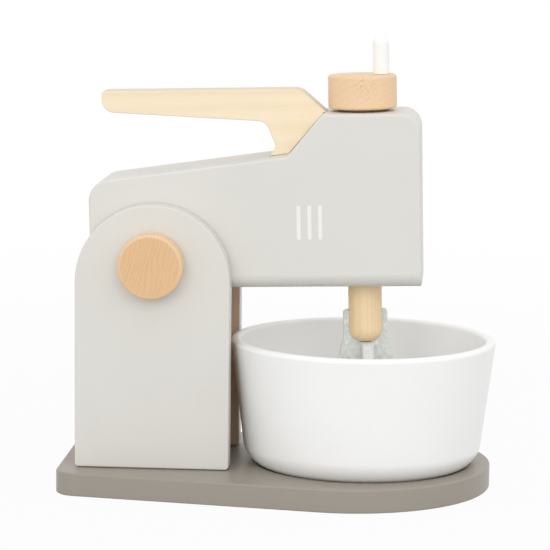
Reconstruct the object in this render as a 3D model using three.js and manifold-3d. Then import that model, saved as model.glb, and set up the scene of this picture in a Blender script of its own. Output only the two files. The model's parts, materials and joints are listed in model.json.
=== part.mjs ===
// A wooden toy stand mixer, in millimetres, +Z up, with +X towards the bowl end.
// It is laid out round the bowl's axis, and its origin is then moved to the middle of its whole length. The
// head is drawn level about its axle and leaned back by the small angle at which it rests.

import * as THREE from 'three';
import { mergeVertices } from 'three/addons/utils/BufferGeometryUtils.js';
import Module from 'manifold-3d';

const wasm = await Module();
wasm.setup();

// Fits and cuts
const glueGap = 0.3;
const runningGap = 0.4;
const cutOverrun = 3;
const chordSag = 0.07;
const bevelSteps = 2;

// Bowl
const bowlRimRadius = 71.1;
const bowlHeight = 69.1;
const bowlRimWidth = 5.6;
const bowlRimRound = 2.2;
const bowlWallLean = THREE.MathUtils.degToRad(7.34);
const bowlCornerRadius = 14;
const bowlInnerCornerRadius = 11;
const bowlFloorThickness = 6;
const bowlSeatClearance = 1.2;

// Base plate
const baseThickness = 12.5;
const baseSeatDepth = 2;
const baseSeatMargin = 17.6;
const baseEndSetback = 7;
const baseRearOverhang = 9.3;
const baseRearWidth = 102.6;
const baseCornerRadius = 12;
const baseEdgeRound = 0.9;

// Cheeks
const cheekWidth = 82;
const cheekThickness = 12.5;
const cheekHeight = 140.9;
const cheekEdgeRound = 0.8;
const cheekBowlClearance = 2.5;

// Head block, measured from the axle
const headThickness = 50.6;
const headBelowAxle = 15;
const headRearReach = 34.6;
const headRearHeight = 57.2;
const headNotchHeight = 69.9;
const headFrontHeight = 91.8;
const headFrontOverhang = 31;
const headNotchFootInset = 70;
const headNotchTopInset = 51.3;
const headRearTopRadius = 11;
const headFrontTopRadius = 10;
const headNotchTopRadius = 3;
const headLowCornerRadius = 1.5;
const headEdgeRound = 1.2;
const headKeelRadius = 7.5;
const headRestLean = THREE.MathUtils.degToRad(1.55);
const headTiltRange = THREE.MathUtils.degToRad(72);

// Axle and tilt knobs
const axleAboveBase = 109.5;
const axleDiameter = 12;
const axleSeatDepth = 7.5;
const knobDiameter = 34.3;
const knobThickness = 10.8;
const knobEdgeRound = 1.6;

// Handle, measured from the notch in the head
const handleThickness = 16;
const handleEdgeRound = 1.2;
const handleTopRise = 12.5;
const handleEndHeight = 11.2;
const handleGripHeight = 17.1;
const handleLength = 99.6;
const handleNoseReach = 1.7;
const handleNoseRun = 14.1;
const handleLegTopReach = 12.2;
const handleKneeReach = 7.9;
const handleKneeRise = 4;
const handleLegFootReach = 10.6;
const handleRootDepth = 5;
const handleNoseRadius = 8;
const handleEndTopRadius = 3;
const handleEndLowRadius = 5;
const handleGripRadius = 6;
const handleKneeRadius = 9;
const handleDowelDiameter = 8;
const handleDowelLength = 20;
const handleDowelPlaceShares = [0.34, 0.7];

// Crank disc, washer, peg and spindle
const discDiameter = 36.5;
const discThickness = 17.9;
const discEdgeRound = 1.5;
const discLift = 1.4;
const washerWidth = 4.2;
const spindleDiameter = 18;
const spindleBelowHead = 32.2;
const spindleEndRound = 7;
const spindleTenonDiameter = 11;
const spindleTenonLength = 11;
const pegDiameter = 8.7;
const pegHeight = 20.2;
const pegOffset = 10.05;
const pegTenonDiameter = 5.5;
const pegTenonLength = 9;

// Felt beater
const bladeThickness = 3;
const bladeTopDrop = 14.8;
const bladeTopWidth = 23.8;
const bladeWaistDrop = 29.5;
const bladeBottomWidth = 55;
const bladeFloorClearance = 6;
const bladeTopRadius = 2;
const bladeWaistRadius = 12;
const bladeBottomRadius = 7;
const crossThickness = 6;
const crossTopReach = 12;
const crossBottomInset = 3.5;
const beaterTwist = THREE.MathUtils.degToRad(9);

// Spacer block and its dowels
const spacerFrontInset = 8;
const spacerRearInset = 6;
const spacerEdgeRound = 1;
const spacerDowelDiameter = 8;
const spacerDowelSeat = 7.5;
const spacerDowelOffset = 8;
const spacerDowelHeightShares = [0.24, 0.55];

// Screws up through the base
const screwDiameter = 4;
const screwHeadDiameter = 8.2;
const screwHeadHeight = 3;
const screwHeadRim = 0.6;
const screwSink = 0.4;
const screwLength = 40;
const screwSpreadShare = 0.54;

// Places in the stand, which follow from the sizes
const cheekGap = headThickness + 2 * runningGap;
const cheekFaceY = cheekGap / 2 + cheekThickness;
const cheekFrontX = -Math.sqrt((bowlRimRadius + cheekBowlClearance) ** 2 - (cheekGap / 2) ** 2);
const cheekX = cheekFrontX - cheekWidth / 2;
const cheekRearX = cheekFrontX - cheekWidth;
const baseRearX = cheekRearX - baseRearOverhang;
const axleZ = baseThickness + axleAboveBase;
const seatZ = baseThickness - baseSeatDepth;

// Radii of the bowl's leaning wall, and of the seat cut for it in the base
const bowlWallTop = bowlHeight - bowlRimRound;
const bowlWallRadius = (height) => bowlRimRadius - (bowlWallTop - height) * Math.tan(bowlWallLean);
const bowlCornerCentre = bowlWallRadius(bowlCornerRadius) - bowlCornerRadius / Math.cos(bowlWallLean);
const bowlCornerRise = bowlCornerRadius - baseSeatDepth;
const bowlRadiusAtBase = bowlCornerCentre + Math.sqrt(bowlCornerRadius ** 2 - bowlCornerRise ** 2);
const seatRadius = bowlRadiusAtBase + bowlSeatClearance;
const baseEndRadius = seatRadius + baseSeatMargin;

// Places in the head, with the axle at its origin
const spindleX = -cheekX;
const headFloorZ = -headBelowAxle;
const headTopZ = headFloorZ + headFrontHeight;
const headFrontX = spindleX + headFrontOverhang;
const notchFoot = new THREE.Vector2(headFrontX - headNotchFootInset, headFloorZ + headNotchHeight);
const notchTop = new THREE.Vector2(headFrontX - headNotchTopInset, headTopZ);
const headRearTop = new THREE.Vector2(-headRearReach, headFloorZ + headRearHeight);
const discFloorZ = headTopZ + discLift;
const discTopZ = discFloorZ + discThickness;
const spindleEndZ = headFloorZ - spindleBelowHead;
const bladeLowestX = spindleX - bladeBottomWidth / 2;
const bladeFloorHeight = seatZ + bowlFloorThickness + bladeFloorClearance - axleZ;
const bladeFloorZ = (bladeFloorHeight - bladeLowestX * Math.sin(headRestLean)) / Math.cos(headRestLean);

// Shapes and solids

const point = (x, y) => new THREE.Vector2(x, y);
const place3 = (x, y, z) => new THREE.Vector3(x, y, z);

function solidOf(geometry) {
  const bare = geometry.clone();
  bare.deleteAttribute('normal');
  bare.deleteAttribute('uv');
  const welded = mergeVertices(bare);
  return new wasm.Manifold(new wasm.Mesh({
    numProp: 3,
    vertProperties: new Float32Array(welded.attributes.position.array),
    triVerts: new Uint32Array(welded.index.array),
  }));
}

// A geometry with others cut out of it
function cut(geometry, cutters) {
  let solid = solidOf(geometry);
  for (const cutter of cutters) {
    solid = solid.subtract(solidOf(cutter));
  }
  const mesh = solid.getMesh();
  const result = new THREE.BufferGeometry();
  result.setAttribute('position', new THREE.BufferAttribute(mesh.vertProperties, 3));
  result.setIndex(new THREE.BufferAttribute(mesh.triVerts, 1));
  result.computeVertexNormals();
  return result;
}

// How many chords draw a curve without straying from it by more than the sag
function curveSteps(radius, sweep) {
  const stepAngle = 2 * Math.acos(1 - Math.min(chordSag / radius, 1 / 4));
  return Math.ceil(Math.abs(sweep) / stepAngle);
}

// The same for a full circle, in four like quarters
function circleSteps(radius) {
  return 4 * curveSteps(radius, Math.PI / 2);
}

// A round bar from one point to another
function bar(from, to, radius) {
  const along = new THREE.Vector3().subVectors(to, from);
  const middle = new THREE.Vector3().addVectors(from, to).multiplyScalar(1 / 2);
  const geometry = new THREE.CylinderGeometry(radius, radius, along.length(), circleSteps(radius));
  const upright = place3(0, 1, 0);
  geometry.applyQuaternion(new THREE.Quaternion().setFromUnitVectors(upright, along.normalize()));
  return geometry.translate(middle.x, middle.y, middle.z);
}

// A body turned about +Z, from a profile of radius and height that starts and ends on the axis
function turned(profile) {
  const widest = Math.max(...profile.map((spot) => spot.x));
  const geometry = new THREE.LatheGeometry(profile, circleSteps(widest));
  return geometry.rotateX(Math.PI / 2);
}

// The points of an arc, from one angle to another
function arcPoints(centre, radius, startAngle, endAngle) {
  const steps = curveSteps(radius, endAngle - startAngle);
  const points = [];
  for (let step = 0; step <= steps; step += 1) {
    const angle = startAngle + (endAngle - startAngle) * (step / steps);
    points.push(point(centre.x + radius * Math.cos(angle), centre.y + radius * Math.sin(angle)));
  }
  return points;
}

// A round disc standing on z = 0 with both rims rounded
function roundDisc(radius, thickness, edgeRound) {
  const low = point(radius - edgeRound, edgeRound);
  const high = point(radius - edgeRound, thickness - edgeRound);
  return turned([
    point(0, 0),
    ...arcPoints(low, edgeRound, -Math.PI / 2, 0),
    ...arcPoints(high, edgeRound, 0, Math.PI / 2),
    point(0, thickness),
  ]);
}

// A slab of an outline drawn in x and y, lying on z = 0, with rounded edges or grown all round
function slab(outline, thickness, edgeRound, growth = 0) {
  const geometry = new THREE.ExtrudeGeometry(outline, {
    depth: thickness - 2 * edgeRound,
    bevelEnabled: true,
    bevelThickness: edgeRound,
    bevelSize: edgeRound,
    bevelOffset: growth - edgeRound,
    bevelSegments: edgeRound > 0 ? bevelSteps : 0,
  });
  return geometry.translate(0, 0, edgeRound);
}

// A board of an outline drawn in x and z, with its thickness centred on Y
function board(outline, thickness, edgeRound, growth = 0) {
  const geometry = slab(outline, thickness, edgeRound, growth);
  return geometry.translate(0, 0, -thickness / 2).rotateX(Math.PI / 2);
}

// A closed outline whose corners, listed anticlockwise, each have a point and a radius
function roundedOutline(corners) {
  const points = corners.flatMap(([corner, radius], index) => {
    if (radius === 0) return [corner];
    const before = corners[(index + corners.length - 1) % corners.length][0];
    const after = corners[(index + 1) % corners.length][0];
    const back = before.clone().sub(corner).normalize();
    const onward = after.clone().sub(corner).normalize();
    const halfAngle = Math.acos(back.dot(onward)) / 2;
    const inward = back.clone().add(onward).normalize();
    const centre = corner.clone().addScaledVector(inward, radius / Math.sin(halfAngle));
    const middleAngle = inward.negate().angle();
    const halfSweep = Math.sign(onward.cross(back)) * (Math.PI / 2 - halfAngle);
    return arcPoints(centre, radius, middleAngle - halfSweep, middleAngle + halfSweep);
  });
  return new THREE.Shape(points);
}

// Materials

const finish = (color, roughness, metalness = 0) => {
  return new THREE.MeshStandardMaterial({ color, roughness, metalness });
};
const taupePaint = finish(0x9d958a, 0.45);
const greyPaint = finish(0xdddbd3, 0.5);
const whitePaint = finish(0xf4f4f2, 0.35);
const beech = finish(0xe2b88e, 0.6);
const paleWood = finish(0xf5e6c5, 0.65);
const bareWood = finish(0xc8ab82, 0.75);
const greyFelt = finish(0xc2c4be, 0.95);
const whiteFelt = finish(0xe6e6e0, 0.95);
const steel = finish(0xb8b8b4, 0.35, 1);

// Groups of the pieces that move together
const mixer = new THREE.Group();
const stand = new THREE.Group();
const bowlPlace = new THREE.Group();
const head = new THREE.Group();
const crank = new THREE.Group();
const farthestX = Math.max(bowlRimRadius, baseEndRadius - baseEndSetback);
mixer.position.x = -(baseRearX + farthestX) / 2;
bowlPlace.position.z = seatZ;
head.position.set(cheekX, 0, axleZ);
head.rotation.y = -headRestLean;
crank.position.x = spindleX;
mixer.add(stand, bowlPlace, head);
head.add(crank);

function add(group, name, geometry, material) {
  const mesh = new THREE.Mesh(geometry, material);
  mesh.name = name;
  group.add(mesh);
}

// Screws, countersunk in the underside of the base, two into each cheek and two into the spacer block

function screw(spot, gap) {
  const radius = screwDiameter / 2 + gap;
  const headRadius = screwHeadDiameter / 2 + gap;
  const foot = gap > 0 ? -cutOverrun : screwSink;
  const profile = [
    point(0, foot),
    point(headRadius, foot),
    point(headRadius, screwSink + screwHeadRim),
    point(radius, screwSink + screwHeadHeight),
    point(radius, screwLength - screwDiameter + gap),
    point(0, screwLength + gap),
  ];
  return turned(profile).translate(spot.x, spot.y, 0);
}

const screwSpread = (cheekWidth * screwSpreadShare) / 2;
const screwSpots = [-1, 0, 1].flatMap((row) => [-1, 1].map((end) => {
  return point(cheekX + end * screwSpread, row * (cheekFaceY - cheekThickness / 2));
}));
const screwHoles = screwSpots.map((spot) => screw(spot, glueGap));
screwSpots.forEach((spot, index) => {
  add(stand, `base_screw_${index + 1}`, screw(spot, 0), steel);
});

// Base plate: a drop-shaped board with a shallow round seat for the bowl

function basePlate() {
  const endX = -baseEndSetback;
  const corner = point(baseRearX, -baseRearWidth / 2);
  const fromEnd = point(corner.x - endX, corner.y);
  const touchAngle = Math.atan2(fromEnd.y, fromEnd.x) + Math.acos(baseEndRadius / fromEnd.length());
  const touch = point(endX + baseEndRadius * Math.cos(touchAngle), baseEndRadius * Math.sin(touchAngle));
  const side = touch.clone().sub(corner).normalize();
  const rear = point(0, 1);
  const halfAngle = Math.acos(side.dot(rear)) / 2;
  const centre = corner.clone()
    .addScaledVector(side.clone().add(rear).normalize(), baseCornerRadius / Math.sin(halfAngle));
  const sideAngle = Math.atan2(-side.x, side.y);
  const outline = new THREE.Shape([
    ...arcPoints(point(endX, 0), baseEndRadius, touchAngle, -touchAngle),
    ...arcPoints(point(centre.x, -centre.y), baseCornerRadius, -sideAngle, Math.PI),
    ...arcPoints(centre, baseCornerRadius, -Math.PI, sideAngle),
  ]);
  const seat = bar(place3(0, 0, seatZ), place3(0, 0, baseThickness + cutOverrun), seatRadius);
  return cut(slab(outline, baseThickness, baseEdgeRound), [seat, ...screwHoles]);
}

add(stand, 'base_plate', basePlate(), taupePaint);

// Spacer block between the cheeks. The front of its top is the stop that the head lies on, and the steep
// face behind its ridge is the stop for the head tipped back, with a low step where the head's tail swings.

function spacerBlock() {
  const frontX = cheekFrontX - spacerFrontInset;
  const rearX = cheekRearX + spacerRearInset;
  const stopDrop = headBelowAxle + glueGap;
  const frontRise = (frontX - cheekX) * Math.tan(headRestLean) - stopDrop / Math.cos(headRestLean);
  const ridgeLean = headRestLean + headTiltRange / 2;
  const ridgeReach = stopDrop / Math.cos(headTiltRange / 2);
  const tippedLean = headRestLean + headTiltRange;
  const stepDrop = Math.hypot(headRearReach, headBelowAxle) + runningGap;
  const stepX = cheekX + (stopDrop - stepDrop * Math.cos(tippedLean)) / Math.sin(tippedLean);
  const ridge = point(ridgeReach * Math.sin(ridgeLean), -ridgeReach * Math.cos(ridgeLean));
  const outline = roundedOutline([
    [point(rearX, baseThickness), 0],
    [point(frontX, baseThickness), 0],
    [point(frontX, axleZ + frontRise), spacerEdgeRound],
    [point(cheekX + ridge.x, axleZ + ridge.y), spacerEdgeRound],
    [point(stepX, axleZ - stepDrop), 0],
    [point(rearX, axleZ - stepDrop), spacerEdgeRound],
  ]);
  return board(outline, cheekGap - glueGap, 0);
}

function spacerDowel(share, gap) {
  const reach = cheekGap / 2 + spacerDowelSeat + gap;
  const x = cheekX + spacerDowelOffset;
  const z = baseThickness + axleAboveBase * share;
  return bar(place3(x, -reach, z), place3(x, reach, z), spacerDowelDiameter / 2 + gap);
}

const spacerDowelHoles = spacerDowelHeightShares.map((share) => spacerDowel(share, glueGap));
spacerDowelHeightShares.forEach((share, index) => {
  add(stand, `spacer_dowel_${index + 1}`, spacerDowel(share, 0), bareWood);
});
add(stand, 'spacer_block', cut(spacerBlock(), [...spacerDowelHoles, ...screwHoles]), bareWood);

// Cheeks: two upright boards with half-round tops, bored for the axle

function cheek(side) {
  const crownZ = baseThickness + cheekHeight - cheekWidth / 2;
  const outline = new THREE.Shape([
    point(cheekRearX, baseThickness),
    point(cheekFrontX, baseThickness),
    ...arcPoints(point(cheekX, crownZ), cheekWidth / 2, 0, Math.PI),
  ]);
  const plank = board(outline, cheekThickness, cheekEdgeRound);
  plank.translate(0, side * (cheekFaceY - cheekThickness / 2), 0);
  const reach = cheekFaceY + cutOverrun;
  const boreRadius = axleDiameter / 2 + runningGap;
  const bore = bar(place3(cheekX, -reach, axleZ), place3(cheekX, reach, axleZ), boreRadius);
  return cut(plank, [bore, ...spacerDowelHoles, ...screwHoles]);
}

add(stand, 'front_cheek', cheek(-1), greyPaint);
add(stand, 'rear_cheek', cheek(1), greyPaint);

// Bowl: one turned piece with a leaning wall, a rounded rim and rounded corners inside and out

function bowl() {
  const wallReach = bowlRimRound / Math.cos(bowlWallLean);
  const outerRim = point(bowlRimRadius - wallReach, bowlWallTop);
  const innerRim = point(bowlRimRadius - bowlRimWidth + wallReach, bowlWallTop);
  const innerZ = bowlFloorThickness + bowlInnerCornerRadius;
  const innerX = bowlWallRadius(innerZ) - bowlRimWidth - bowlInnerCornerRadius / Math.cos(bowlWallLean);
  return turned([
    point(0, 0),
    ...arcPoints(point(bowlCornerCentre, bowlCornerRadius), bowlCornerRadius, -Math.PI / 2, -bowlWallLean),
    ...arcPoints(outerRim, bowlRimRound, -bowlWallLean, Math.PI / 2),
    ...arcPoints(innerRim, bowlRimRound, Math.PI / 2, Math.PI - bowlWallLean),
    ...arcPoints(point(innerX, innerZ), bowlInnerCornerRadius, -bowlWallLean, -Math.PI / 2),
    point(0, bowlFloorThickness),
  ]);
}

add(bowlPlace, 'bowl', bowl(), whitePaint);

// Tilt axle: a dowel glued in the head, free in the cheeks, with a knob glued on each end

const axleEndY = cheekFaceY + runningGap + axleSeatDepth;

function axle(gap) {
  return bar(place3(0, -axleEndY - gap, 0), place3(0, axleEndY + gap, 0), axleDiameter / 2 + gap);
}

function knob(side) {
  const disc = roundDisc(knobDiameter / 2, knobThickness, knobEdgeRound);
  disc.rotateX(side * -Math.PI / 2);
  disc.translate(0, side * (cheekFaceY + runningGap), 0);
  return cut(disc, [axle(glueGap)]);
}

add(head, 'tilt_axle', axle(0), beech);
add(head, 'front_tilt_knob', knob(-1), beech);
add(head, 'rear_tilt_knob', knob(1), beech);

// Handle joint: dowels square to the sloping face of the notch

function handleDowel(share, gap) {
  const slope = notchTop.clone().sub(notchFoot);
  const middle = notchFoot.clone().addScaledVector(slope, share);
  const out = point(-slope.y, slope.x).setLength(handleDowelLength / 2 + gap);
  const inner = middle.clone().sub(out);
  const outer = middle.clone().add(out);
  return bar(place3(inner.x, 0, inner.y), place3(outer.x, 0, outer.y), handleDowelDiameter / 2 + gap);
}

const handleDowelHoles = handleDowelPlaceShares.map((share) => handleDowel(share, glueGap));
handleDowelPlaceShares.forEach((share, index) => {
  add(head, `handle_dowel_${index + 1}`, handleDowel(share, 0), beech);
});

// Head block: a sloping back, a notch for the handle, a high front, and a keel with rounded edges

const headOutline = roundedOutline([
  [point(-headRearReach, headFloorZ), headLowCornerRadius],
  [point(headFrontX, headFloorZ), headLowCornerRadius],
  [point(headFrontX, headTopZ), headFrontTopRadius],
  [notchTop, headNotchTopRadius],
  [notchFoot, 0],
  [headRearTop, headRearTopRadius],
]);

// What rounding takes off one lower edge of the head
function keelRounding(side) {
  const outer = headKeelRadius + cutOverrun;
  const waste = new THREE.Shape([
    point(0, -cutOverrun),
    point(outer, -cutOverrun),
    point(outer, headKeelRadius),
    ...arcPoints(point(0, headKeelRadius), headKeelRadius, 0, -Math.PI / 2),
  ]);
  const length = headRearReach + headFrontX + 2 * cutOverrun;
  const geometry = new THREE.ExtrudeGeometry(waste, { depth: length, bevelEnabled: false });
  const across = place3(0, side, 0);
  const up = place3(0, 0, 1);
  const along = place3(side, 0, 0);
  geometry.applyMatrix4(new THREE.Matrix4().makeBasis(across, up, along));
  const startX = side > 0 ? -headRearReach - cutOverrun : headFrontX + cutOverrun;
  return geometry.translate(startX, side * (headThickness / 2 - headKeelRadius), headFloorZ);
}

function spindleBore() {
  const low = place3(spindleX, 0, headFloorZ - cutOverrun);
  const high = place3(spindleX, 0, headTopZ + cutOverrun);
  return bar(low, high, spindleDiameter / 2 + runningGap);
}

add(head, 'head_block', cut(board(headOutline, headThickness, headEdgeRound), [
  keelRounding(-1), keelRounding(1), spindleBore(), axle(glueGap), ...handleDowelHoles,
]), greyPaint);

// Handle: an open grip whose leg and nose fit the notch, relieved round the crank disc

function handle() {
  const topZ = headTopZ + handleTopRise;
  const endX = notchFoot.x - handleLength;
  const tip = point(notchTop.x + handleNoseReach, headTopZ);
  const rootShare = handleRootDepth / handleTopRise;
  const root = point(tip.x + handleNoseRun * rootShare, headTopZ - handleRootDepth);
  const outline = roundedOutline([
    [point(notchFoot.x - handleLegFootReach, notchFoot.y - handleRootDepth), 0],
    [point(notchTop.x, notchFoot.y - handleRootDepth), 0],
    [root, 0],
    [point(tip.x - handleNoseRun, topZ), handleNoseRadius],
    [point(endX, topZ), handleEndTopRadius],
    [point(endX, topZ - handleEndHeight), handleEndLowRadius],
    [point(notchFoot.x - handleLegTopReach, topZ - handleGripHeight), handleGripRadius],
    [point(notchFoot.x - handleKneeReach, notchFoot.y + handleKneeRise), handleKneeRadius],
  ]);
  const headSpace = board(headOutline, headThickness, 0, glueGap);
  const discLow = place3(spindleX, 0, discFloorZ - runningGap);
  const discHigh = place3(spindleX, 0, discTopZ + cutOverrun);
  const discSpace = bar(discLow, discHigh, discDiameter / 2 + runningGap);
  return cut(board(outline, handleThickness, handleEdgeRound), [headSpace, discSpace, ...handleDowelHoles]);
}

add(head, 'handle', handle(), paleWood);

// Spindle: a dowel through the head, slotted for the blade below and turned down to a tenon above

function bladeSlot() {
  const height = spindleBelowHead - bladeTopDrop + cutOverrun + glueGap;
  const slot = new THREE.BoxGeometry(2 * spindleDiameter, bladeThickness + 2 * glueGap, height);
  slot.translate(0, 0, headFloorZ - bladeTopDrop + glueGap - height / 2);
  return slot.rotateZ(beaterTwist);
}

function spindle() {
  const radius = spindleDiameter / 2;
  const endCentre = point(radius - spindleEndRound, spindleEndZ + spindleEndRound);
  const shoulderZ = discFloorZ - glueGap;
  return cut(turned([
    point(0, spindleEndZ),
    ...arcPoints(endCentre, spindleEndRound, -Math.PI / 2, 0),
    point(radius, shoulderZ),
    point(spindleTenonDiameter / 2, shoulderZ),
    point(spindleTenonDiameter / 2, discFloorZ + spindleTenonLength),
    point(0, discFloorZ + spindleTenonLength),
  ]), [bladeSlot()]);
}

add(crank, 'spindle', spindle(), beech);

// Crank washer: a thin steel ring that carries the disc clear of the head

function crankWasher() {
  const innerRadius = spindleDiameter / 2 + glueGap;
  const lowZ = headTopZ + runningGap;
  const highZ = discFloorZ - glueGap;
  const outerRadius = innerRadius + washerWidth;
  return turned([
    point(innerRadius, lowZ),
    point(outerRadius, lowZ),
    point(outerRadius, highZ),
    point(innerRadius, highZ),
    point(innerRadius, lowZ),
  ]);
}

add(crank, 'crank_washer', crankWasher(), steel);

// Crank disc, and the round-ended peg glued off its centre

function peg(gap) {
  const radius = pegDiameter / 2;
  const tenonRadius = pegTenonDiameter / 2 + gap;
  const shoulderZ = discTopZ + glueGap;
  return turned([
    point(0, discTopZ - pegTenonLength - gap),
    point(tenonRadius, discTopZ - pegTenonLength - gap),
    point(tenonRadius, shoulderZ),
    point(radius, shoulderZ),
    ...arcPoints(point(0, discTopZ + pegHeight - radius), radius, 0, Math.PI / 2),
  ]).translate(pegOffset, 0, 0);
}

function crankDisc() {
  const disc = roundDisc(discDiameter / 2, discThickness, discEdgeRound);
  disc.translate(0, 0, discFloorZ);
  const socketLow = place3(0, 0, discFloorZ - cutOverrun);
  const socketHigh = place3(0, 0, discFloorZ + spindleTenonLength + glueGap);
  const socket = bar(socketLow, socketHigh, spindleTenonDiameter / 2 + glueGap);
  return cut(disc, [socket, peg(glueGap)]);
}

add(crank, 'crank_disc', crankDisc(), beech);
add(crank, 'crank_peg', peg(0), whitePaint);

// Felt beater: a wide blade through the spindle's slot, and two cross blades glued to it below

function wideBlade() {
  const topZ = headFloorZ - bladeTopDrop;
  const waistZ = headFloorZ - bladeWaistDrop;
  const corners = [-1, 1].map((side) => [
    [point(side * bladeBottomWidth / 2, bladeFloorZ), bladeBottomRadius],
    [point(side * bladeTopWidth / 2, waistZ), bladeWaistRadius],
    [point(side * bladeTopWidth / 2, topZ), bladeTopRadius],
  ]);
  const outline = roundedOutline([...corners[0].reverse(), ...corners[1]]);
  return board(outline, bladeThickness, 0).rotateZ(beaterTwist);
}

function crossBlade(side) {
  const inner = bladeThickness / 2 + glueGap;
  const topZ = spindleEndZ - glueGap;
  const outer = bladeBottomWidth / 2 - crossBottomInset;
  const outline = roundedOutline([
    [point(inner, bladeFloorZ), 0],
    [point(outer, bladeFloorZ), bladeBottomRadius],
    [point(crossTopReach, topZ), bladeTopRadius],
    [point(inner, topZ), 0],
  ]);
  return board(outline, crossThickness, 0).rotateZ(side * Math.PI / 2 + beaterTwist);
}

add(crank, 'wide_blade', wideBlade(), greyFelt);
add(crank, 'front_cross_blade', crossBlade(-1), whiteFelt);
add(crank, 'rear_cross_blade', crossBlade(1), whiteFelt);

export default mixer;
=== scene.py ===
import json
import math

import bmesh
import bpy
from mathutils import Matrix, Vector


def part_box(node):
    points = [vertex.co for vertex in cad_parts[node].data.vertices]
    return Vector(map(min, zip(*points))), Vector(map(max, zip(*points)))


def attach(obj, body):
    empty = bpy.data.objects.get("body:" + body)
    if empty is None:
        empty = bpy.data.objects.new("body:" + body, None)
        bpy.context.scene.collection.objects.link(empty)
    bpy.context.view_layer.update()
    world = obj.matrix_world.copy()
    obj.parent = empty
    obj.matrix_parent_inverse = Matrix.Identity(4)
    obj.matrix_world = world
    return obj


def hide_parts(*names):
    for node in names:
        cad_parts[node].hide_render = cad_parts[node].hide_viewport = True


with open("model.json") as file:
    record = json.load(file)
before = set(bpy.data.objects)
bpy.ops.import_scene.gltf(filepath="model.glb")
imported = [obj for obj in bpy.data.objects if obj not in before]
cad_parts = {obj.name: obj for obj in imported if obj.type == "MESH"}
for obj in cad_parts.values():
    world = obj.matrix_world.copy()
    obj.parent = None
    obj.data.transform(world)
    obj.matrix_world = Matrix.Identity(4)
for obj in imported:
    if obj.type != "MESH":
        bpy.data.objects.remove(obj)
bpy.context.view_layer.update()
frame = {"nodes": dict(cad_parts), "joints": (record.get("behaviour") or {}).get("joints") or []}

# Wood screws: six countersunk steel screws that come up through the base into the cheeks and the
# spacer block. They are turned and threaded stock parts, so they keep a dull machined shine.

mm = 0.001
screw_count = 6
noise_low = 0.3
noise_high = 0.7


def screen_colour(red, green, blue):
    """A colour given as a screen shows it, turned to the linear light that a shader takes."""
    return tuple(((value / 255 + 0.055) / 1.055) ** 2.4 for value in (red, green, blue)) + (1,)


def new_finish(name, roughness, **settings):
    """A material, and its shader with the settings that are the same all over."""
    material = bpy.data.materials.new(name)
    material.use_nodes = True
    shader = material.node_tree.nodes["Principled BSDF"]
    shader.inputs["Roughness"].default_value = roughness
    for socket, value in settings.items():
        shader.inputs[socket.replace("_", " ")].default_value = value
    return material, shader


def join(material, kind, inputs, **settings):
    """A node whose inputs are other nodes' outputs or plain values."""
    tree = material.node_tree
    node = tree.nodes.new("ShaderNode" + kind)
    for key, value in settings.items():
        setattr(node, key, value)
    for socket, value in inputs.items():
        if isinstance(value, bpy.types.NodeSocket):
            tree.links.new(value, node.inputs[socket])
        else:
            node.inputs[socket].default_value = value
    return node


def placed(material, centre=(0, 0, 0), turn=(0, 0, 0), stretch=(1, 1, 1)):
    """Object coordinates, centred and turned to the piece, and stretched along its grain."""
    place = join(material, "TexCoord", {}).outputs["Object"]
    turned = join(material, "Mapping", {"Vector": place, "Location": centre, "Rotation": turn},
                  vector_type="TEXTURE").outputs["Vector"]
    return join(material, "Mapping", {"Vector": turned, "Scale": stretch}).outputs["Vector"]


def noise(material, place, scale, detail=3.0, rough=0.5, warp=0.0):
    """Soft irregular spots or, on a stretched place, streaks."""
    inputs = {"Vector": place, "Scale": scale, "Detail": detail, "Roughness": rough, "Distortion": warp}
    return join(material, "TexNoise", inputs).outputs["Fac"]


def between(material, amount, low, high, low_to=0.0, high_to=1.0):
    """Maps one range of a value to another and holds it there."""
    inputs = {"Value": amount, "From Min": low, "From Max": high, "To Min": low_to, "To Max": high_to}
    return join(material, "MapRange", inputs).outputs["Result"]


def spread(material, spots, low_to=0.0, high_to=1.0):
    """Spreads the range that most of a noise lies in from one value to another."""
    return between(material, spots, noise_low, noise_high, low_to, high_to)


def blended(material, amount, first, second):
    """Two colours mixed by an amount. They are sockets 6 and 7 of a Mix node, and its output 2."""
    return join(material, "Mix", {0: amount, 6: first, 7: second}, data_type="RGBA").outputs[2]


def relief(material, height, depth, strength=1.0, under=None):
    """A bump of a real depth, on top of another one if there is one."""
    inputs = {"Height": height, "Distance": depth, "Strength": strength}
    if under is not None:
        inputs["Normal"] = under
    return join(material, "Bump", inputs).outputs["Normal"]


def wear(material, shader, **outputs):
    """Joins node outputs to the shader's sockets."""
    for socket, value in outputs.items():
        material.node_tree.links.new(value, shader.inputs[socket.replace("_", " ")])


def steel_finish(name, dark, light, roughness):
    """Turned steel in two close tones, with the fine rings that the tool leaves."""
    material, shader = new_finish(name, roughness, Metallic=1.0)
    spots = noise(material, placed(material), scale=900)
    rings = noise(material, placed(material, stretch=(1, 1, 12)), scale=700)
    wear(material, shader, Base_Color=blended(material, spots, dark, light),
         Roughness=spread(material, spots, roughness - 0.1, roughness + 0.1),
         Normal=relief(material, rings, depth=0.05 * mm))
    return material


def dress(node_names, material):
    """Gives CAD nodes that stay as they are a better finish."""
    for node_name in node_names:
        for slot in frame["nodes"][node_name].material_slots:
            slot.material = material


screw_steel = steel_finish("turned_steel", screen_colour(168, 168, 164), screen_colour(198, 198, 194),
                           roughness=0.35)
dress([f"base_screw_{number + 1}" for number in range(screw_count)], screw_steel)

# Base plate: a board with a round end, rounded at its edges and sprayed with satin taupe paint. A
# shallow round seat turned in its top keeps the bowl in place. The screws come up through it.

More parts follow.
